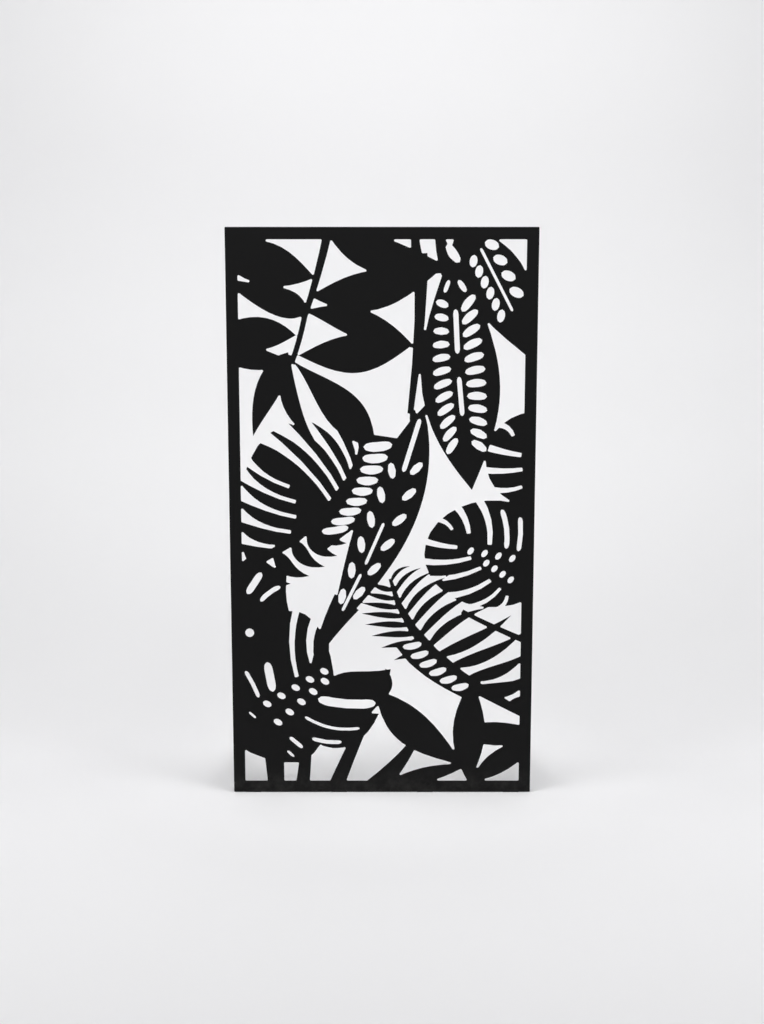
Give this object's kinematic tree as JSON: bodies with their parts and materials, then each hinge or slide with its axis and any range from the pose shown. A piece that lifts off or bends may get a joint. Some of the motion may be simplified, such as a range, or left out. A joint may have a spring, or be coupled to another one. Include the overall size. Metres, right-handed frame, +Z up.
{
  "type": "free-standing laser-cut metal screen",
  "caption": "Tall free-standing steel screen: a laser-cut sheet of tropical leaves on a welded angle frame, with two rear feet that swing flat behind it.",
  "frame": {"origin": "middle of the footprint on the floor, with both feet open", "axes": "+Z up, +Y towards the back where the feet are, so the sheet's face looks along -Y; +X to the viewer's right"},
  "size_m": [1.0194, 0.419, 1.802],
  "materials": {
    "powder_coat": "matt black powder coat with a fine texture",
    "zinc": "dull zinc plating",
    "rubber": "matt black rubber",
    "nylon": "natural nylon"
  },
  "bodies": {
    "screen": {"face_sheet": "powder_coat", "left_stile": "powder_coat", "right_stile": "powder_coat", "top_rail": "powder_coat", "bottom_rail": "powder_coat", "weld_studs": "zinc", "stud_washers": "zinc", "stud_nuts": "zinc", "base_glides": "rubber", "left_upper_bracket": "powder_coat", "left_lower_bracket": "powder_coat", "right_upper_bracket": "powder_coat", "right_lower_bracket": "powder_coat", "bracket_rivets": "zinc", "left_pivot_rod": "zinc", "right_pivot_rod": "zinc", "left_rod_clip": "zinc", "right_rod_clip": "zinc"},
    "left_foot": {"left_pivot_tube": "powder_coat", "left_pivot_bushes": "nylon", "left_foot_plate": "powder_coat", "left_foot_shoe": "rubber"},
    "right_foot": {"right_pivot_tube": "powder_coat", "right_pivot_bushes": "nylon", "right_foot_plate": "powder_coat", "right_foot_shoe": "rubber"}
  },
  "joints": [
    {"name": "left_foot_swing", "type": "hinge", "parent": "screen", "child": "left_foot", "pos_m": [-0.462, -0.16923, 0.2], "axis": [0, 0, 1], "range_deg": [-96, 0]},
    {"name": "right_foot_swing", "type": "hinge", "parent": "screen", "child": "right_foot", "pos_m": [0.462, -0.16923, 0.2], "axis": [0, 0, 1], "range_deg": [0, 96]}
  ]
}
